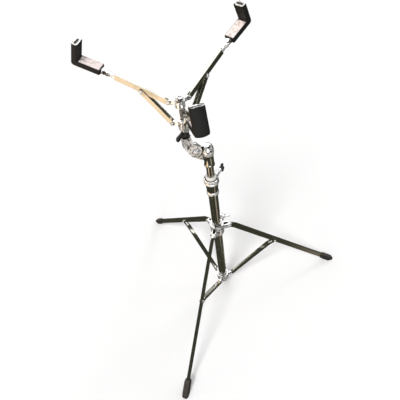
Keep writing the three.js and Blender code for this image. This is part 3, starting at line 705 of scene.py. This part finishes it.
def make_wing_nut():
    """The moulded nut below the basket: a waisted boss with two long wings."""
    matrix = basket_frame("wing_nut_turn", NUT_AZIMUTH)
    bm = bmesh.new()
    boss = [(4.9, -10.6), (8.4, -10.6), (9.2, -9.8), (9.4, -6), (8.6, -3), (8.2, 4), (8.8, 5.4),
            (8.8, 8.2), (8.2, 9.0), (4.9, 9.0)]
    add_hollow(bm, boss, matrix, 40)
    wing = ((4, 4.4, 6.0, 1.0), (9, 4.3, 5.4, 1.4), (14, 4.0, 4.8, 1.8), (20, 4.0, 5.0, 2.0),
            (26, 4.4, 5.8, 2.0), (30, 4.4, 6.2, 1.8), (32.8, 3.4, 5.0, 1.6), (34.2, 1.6, 2.6, 1.6))
    add_wing(bm, matrix, wing)
    add_wing(bm, matrix @ Matrix.Rotation(math.pi, 4, "Z"), wing)
    nut = make_piece("wing_nut_moulded", bm, "wing_nut", "black_plastic", ["wing_nut"])
    subdivide(nut)


def make_thread():
    """The basket's rod as a real screw thread."""
    matrix = basket_frame("basket_swivel")
    sides, steps = 28, 520
    bm = bmesh.new()
    rings = []
    for step in range(steps + 1):
        height = THREAD_BOTTOM + (THREAD_TOP - THREAD_BOTTOM) * step / steps
        ring = []
        for k in range(sides):
            angle = 2 * math.pi * k / sides
            wave = 0.5 + 0.5 * math.cos(2 * math.pi * height / THREAD_PITCH - angle)
            radius = THREAD_ROOT + THREAD_DEPTH * wave
            ring.append((radius * math.cos(angle), radius * math.sin(angle), height))
        rings.append(ring)
    add_rings(bm, rings, matrix)
    make_piece("basket_rod_threaded", bm, "tilter", "steel", ["basket_rod"])


def make_hub_screw():
    """A domed cap over the arm hub, with a dished recess."""
    matrix = basket_frame("basket_swivel")
    bm = bmesh.new()
    outline = [(2.1, -6), (2.1, 9.2), (7.4, 9.2), (7.6, 10.2), (7.3, 11.6), (6.4, 12.9), (5.0, 13.6),
               (3.6, 13.7), (3.2, 13.0), (2.0, 12.2), (0.02, 12.0)]
    add_turned(bm, outline, matrix, 40)
    make_piece("hub_screw_turned", bm, "tilter", "steel", ["hub_screw"], MATERIALS["casting"])


# A wing's own X, Y and Z turned to point up, sideways and along the bolt.
WING_UPWARDS = Matrix(((0, 0, 1, 0), (0, 1, 0, 0), (1, 0, 0, 0), (0, 0, 0, 1)))
WING_DOWNWARDS = Matrix(((0, 0, 1, 0), (0, -1, 0, 0), (-1, 0, 0, 0), (0, 0, 0, 1)))


def make_collar_bolt():
    """The leg collar's chromed wing screw."""
    matrix = tube_frame(*COLLAR_BOLT_PLACE) @ Matrix.Rotation(math.radians(COLLAR_BOLT_TURN), 4, "X")
    bm = bmesh.new()
    stem = [(2.9, 0), (2.9, 17), (6.0, 18), (6.6, 19), (6.6, 22), (5.6, 25), (5.0, 29), (5.6, 31),
            (4.8, 32.4), (2.0, 33)]
    add_turned(bm, stem, outward(matrix), 32)
    wing = ((0.5, 2.6, 4.8, 0.0), (6, 2.4, 4.4, 1.0), (11, 2.5, 4.6, 3.0), (15, 2.8, 4.8, 4.6),
            (18, 2.5, 4.2, 5.4), (19.8, 1.2, 2.0, 5.6))
    hub = matrix @ Matrix.Translation((25.0, 0, 0))
    add_wing(bm, hub @ WING_UPWARDS, wing)
    add_wing(bm, hub @ WING_DOWNWARDS, wing)
    bolt = make_piece("leg_collar_bolt_cast", bm, "leg_collar_bolt", "chrome", ["leg_collar_bolt"],
                      MATERIALS["casting"])
    subdivide(bolt)


def make_height_bolt():
    """The clamp's black wing screw on its chromed stem."""
    matrix = tube_frame(*HEIGHT_BOLT_PLACE)
    stem = bmesh.new()
    stem_outline = [(2.9, 0), (2.9, 13.4), (5.6, 13.8), (6.2, 15), (6.2, 18), (4.6, 19.4), (4.4, 22),
                    (5.4, 23), (5.4, 26.0), (4.0, 27.5), (2.0, 28.0)]
    add_turned(stem, stem_outline, outward(matrix), 32)
    make_piece("height_bolt_stem", stem, "height_bolt", "chrome", material=MATERIALS["casting"])
    knob = bmesh.new()
    knob_outline = [(2.0, 26.6), (5.6, 26.8), (6.4, 28), (6.4, 33), (5.6, 36.5), (3.8, 38.4), (1.0, 39)]
    add_turned(knob, knob_outline, outward(matrix), 32)
    wing = ((0.5, 3.0, 5.0, 0.0), (5, 3.0, 5.0, 0.8), (9, 3.2, 5.2, 2.0), (12, 2.7, 4.2, 2.8),
            (13.4, 1.2, 2.0, 3.0))
    hub = matrix @ Matrix.Translation((32.0, 0, 0))
    add_wing(knob, hub @ WING_UPWARDS, wing)
    add_wing(knob, hub @ WING_DOWNWARDS, wing)
    moulded = make_piece("height_bolt_knob", knob, "height_bolt", "black_plastic", ["height_bolt"])
    subdivide(moulded)


def make_tilter_bolt():
    """The tilter's bolt: a stepped round head in front and a cast wing behind."""
    joint = JOINTS["tilt"]
    side = Vector(joint["axis"])
    out = side.cross(UP)
    matrix = axes_at(Vector(joint["pos_m"]), out, side, UP)
    bm = bmesh.new()
    head = [(2.9, -15), (2.9, 10.2), (8.6, 10.2), (9.0, 11.0), (8.6, 12.0), (6.8, 12.4), (6.6, 14.4),
            (5.8, 15.0), (3.4, 15.0), (3.0, 14.0), (1.0, 13.8)]
    add_turned(bm, head, sideways(matrix), 40)
    wing_boss = [(5.2, -19), (6.2, -17), (6.4, -11.2), (5.6, -10.4), (2.0, -10.4)]
    add_turned(bm, wing_boss, sideways(matrix), 32)
    wing = ((0.5, 3.0, 3.0, 0.0), (6, 2.8, 2.8, 0.0), (12, 2.9, 3.2, 0.0), (16, 2.6, 3.2, 0.0),
            (18.6, 1.4, 1.8, 0.0))
    hub = matrix @ Matrix.Translation((0, -16.5, 0))
    for turn in (120, -60):
        add_wing(bm, hub @ Matrix.Rotation(math.radians(turn), 4, "Y"), wing)
    bolt = make_piece("tilter_bolt_cast", bm, "tilter_bolt", "chrome", ["tilter_wing_bolt"],
                      MATERIALS["casting"])
    soften(bolt, 0.3, 40)


# ---- height clamp -------------------------------------------------------------------------------


def make_housing():
    """The clamp: a dark chromed sleeve between a rolled ring below and a thick clamping ring above."""
    matrix = tube_frame(0.0)
    sleeve = bmesh.new()
    tapered = [(12.8, 466), (14.4, 466), (14.6, 478), (16.6, 500), (17.0, 506), (11.6, 506),
               (11.6, 502), (12.8, 501.6)]
    add_hollow(sleeve, tapered, matrix, 56)
    make_piece("height_housing_sleeve", sleeve, "base", "chrome", ["height_housing"],
               MATERIALS["chrome"])
    rings = bmesh.new()
    rolled_ring = [(12.9, 464), (14.8, 464), (15.8, 465.2), (16.4, 467.5), (16.4, 472), (15.8, 475),
                   (14.9, 477), (12.9, 477)]
    add_hollow(rings, rolled_ring, matrix, 56)
    clamping_ring = [(16.5, 503.4), (18.6, 504.4), (19.4, 506.5), (19.4, 511), (18.5, 512),
                     (18.5, 513.4), (19.4, 514.4), (19.4, 517.6), (18.4, 519.6), (16.8, 520.2),
                     (15.6, 519.0), (11.7, 519.0), (11.7, 503.4)]
    add_hollow(rings, clamping_ring, matrix, 56)
    azimuth, _, height = HEIGHT_BOLT_PLACE
    boss = [(6.6, 15), (7.0, 18), (7.0, 25.6), (6.2, 27), (3.3, 27), (3.3, 15)]
    add_hollow(rings, boss, outward(tube_frame(azimuth, 0.0, height)), 32)
    make_piece("height_housing_rings", rings, "base", "chrome", material=MATERIALS["casting"])


def make_socket():
    """The tilter's darker, drawn sleeve below its domed head, with a rolled lip."""
    bm = bmesh.new()
    sleeve = [(9.9, 565.6), (12.6, 565.6), (13.2, 566.6), (13.2, 569.4), (12.5, 571), (12.2, 573),
              (12.2, 595), (12.6, 597.4), (13.6, 599.6), (13.6, 601), (11.0, 601), (9.9, 598)]
    add_hollow(bm, sleeve, tube_frame(0.0), 56)
    make_piece("tilter_socket", bm, "upper_tube", "chrome", material=MATERIALS["chrome"])


for place in PLACES:
    leg_hinge = "leg_%s_hinge" % place
    brace_hinge = "brace_%s_hinge" % place
    arm_hinge = "arm_%s_hinge" % place
    strut_hinge = "strut_%s_hinge" % place
    make_neck(place)
    make_foot(place)
    leg_way = LEG_AZIMUTHS[place]
    arm_way = ARM_AZIMUTHS[place]
    make_pin("leg_pin_" + place, leg_hinge, leg_way, "leg_collar", LEG_PIN_HALF)
    make_pin("brace_pin_" + place, brace_hinge, leg_way, "base", BRACE_PIN_HALF)
    make_pin("arm_pin_" + place, arm_hinge, arm_way, "hub", ARM_PIN_HALF)
    make_pin("strut_pin_" + place, strut_hinge, arm_way, "slider", STRUT_PIN_HALF)
    make_linkage_rivet("brace_rivet_" + place, leg_hinge, leg_way, "leg_" + place, BRACE_RIVET_SPOT,
                       BRACE_PIN_HALF)
    make_linkage_rivet("strut_rivet_" + place, arm_hinge, arm_way, "arm_" + place, STRUT_RIVET_SPOT,
                       STRUT_PIN_HALF)
make_wing_nut()
make_thread()
make_hub_screw()
make_collar_bolt()
make_height_bolt()
make_tilter_bolt()
make_housing()
make_socket()

# ---- camera, floor and light --------------------------------------------------------------------

CAMERA_FROM_TUBE = Vector((0.00341, -0.68854, 1.21651))
CAMERA_TURN = (41.314, 6.076, -3.556)  # degrees
CAMERA_LENS = 35.21  # millimetres, on the sensor below
CAMERA_SENSOR = 36.0
FLOOR_RADIUS = 14.0
FLOOR_DROP = 0.0005  # the floor lies this far below the ground plane, clear of the feet


def make_camera():
    data = bpy.data.cameras.new("camera")
    data.lens = CAMERA_LENS
    data.sensor_width = CAMERA_SENSOR
    camera = bpy.data.objects.new("camera", data)
    camera.location = Vector((TUBE_AXIS.x, TUBE_AXIS.y, 0)) + CAMERA_FROM_TUBE
    camera.rotation_euler = [math.radians(angle) for angle in CAMERA_TURN]
    bpy.context.scene.collection.objects.link(camera)
    bpy.context.scene.camera = camera


def make_floor():
    """A wide pale floor that takes shadows, but that polished metal doesn't mirror."""
    material, nodes, shader, coords = new_material("floor")
    cloud = nodes.noise(coords, 3.0, 4.0, 0.5)
    nodes.tree.links.new(nodes.mix(cloud, grey(0.905), grey(0.93)), shader.inputs["Base Color"])
    shader.inputs["Roughness"].default_value = 0.8
    shader.inputs["Specular IOR Level"].default_value = 0.1
    bm = bmesh.new()
    bmesh.ops.create_circle(bm, cap_ends=True, segments=96, radius=FLOOR_RADIUS)
    mesh = bpy.data.meshes.new("floor")
    bm.to_mesh(mesh)
    bm.free()
    mesh.materials.append(material)
    floor = bpy.data.objects.new("floor", mesh)
    floor.location.z = -FLOOR_DROP
    bpy.context.scene.collection.objects.link(floor)
    floor.visible_glossy = False


def sun_light(name, towards, angle, strength, in_mirrors, colour=(1, 1, 1)):
    """A broad sun: the way it shines, its width in degrees, its strength and if metal mirrors it."""
    data = bpy.data.lights.new(name, "SUN")
    data.color = colour
    data.angle = math.radians(angle)
    data.energy = strength
    light = bpy.data.objects.new(name, data)
    light.rotation_euler = Vector(towards).to_track_quat("-Z", "Y").to_euler()
    light.visible_glossy = in_mirrors
    bpy.context.scene.collection.objects.link(light)


# What polished metal mirrors: each panel's direction, the cosines at its outer edge and full
# brightness, and its colour.
PANELS = (
    ((0.05, 0.80, -0.60), 0.958, 0.985, (1.0, 1.0, 0.97, 1)),  # white, low behind the stand
    ((-0.63, -0.58, -0.52), 0.955, 0.975, (1.62, 1.25, 0.88, 1)),  # warm, low in front on the left
    ((-0.93, -0.25, -0.20), 0.88, 0.94, (1.15, 0.82, 0.50, 1)),  # warm, at the left
    ((0.05, -0.98, -0.10), 0.88, 0.94, (1.5, 1.5, 1.5, 1)),  # white, in front
    ((0.49, -0.50, -0.69), 0.972, 0.990, (0.50, 0.43, 0.34, 1)),  # dim, low in front on the right
    ((0.0, 0.45, 0.89), 0.55, 0.64, (1.9, 1.9, 1.9, 1)),  # the bright ceiling
    ((0.94, -0.25, 0.22), 0.95, 0.985, (0.9, 0.92, 1.0, 1)),  # cool, at the right
)


def make_world():
    """Soft white light all round, while polished metal mirrors a darker studio with pale panels."""
    world = bpy.data.worlds.new("studio")
    bpy.context.scene.world = world
    world.use_nodes = True
    nodes = Nodes(world.node_tree)
    direction = nodes.add("ShaderNodeTexCoord").outputs["Generated"]
    wobble = nodes.noise(direction, 5.0, 3.0, 0.6)
    colour = nodes.mix(wobble, (0.035, 0.036, 0.024, 1), (0.085, 0.084, 0.062, 1))
    for towards, outer, inner, tint in PANELS:
        facing = nodes.vector("DOT_PRODUCT", direction, Vector(towards).normalized())
        colour = nodes.mix(nodes.ramp(facing.outputs["Value"], outer, inner), colour, tint)
    mirrored = nodes.add("ShaderNodeBackground", {"Color": colour, "Strength": 1.0})
    upwards = nodes.add("ShaderNodeSeparateXYZ", {0: direction}).outputs["Z"]
    from_horizon = nodes.ramp(nodes.math("ABSOLUTE", upwards), 0.25, 0.45)
    backdrop = nodes.mix(from_horizon, grey(1.0), grey(0.44))
    plain = nodes.add("ShaderNodeBackground", {"Color": backdrop, "Strength": 1.0})
    is_glossy = nodes.add("ShaderNodeLightPath").outputs["Is Glossy Ray"]
    both = nodes.add("ShaderNodeMixShader", {0: is_glossy, 1: plain.outputs[0], 2: mirrored.outputs[0]})
    output = nodes.add("ShaderNodeOutputWorld")
    nodes.tree.links.new(both.outputs[0], output.inputs["Surface"])


make_camera()
make_floor()
make_world()
sun_light("key", (0.28, 0.50, -0.80), 16, 1.9, False)
sun_light("fill", (0.25, 0.95, -0.12), 20, 0.7, False)
sun_light("warm", (0.92, 0.38, -0.01), 16, 1.4, False, (1.0, 0.60, 0.30))
sun_light("rim", (-0.62, -0.50, -0.60), 14, 0.35, True)

bpy.context.scene.view_settings.view_transform = "Standard"
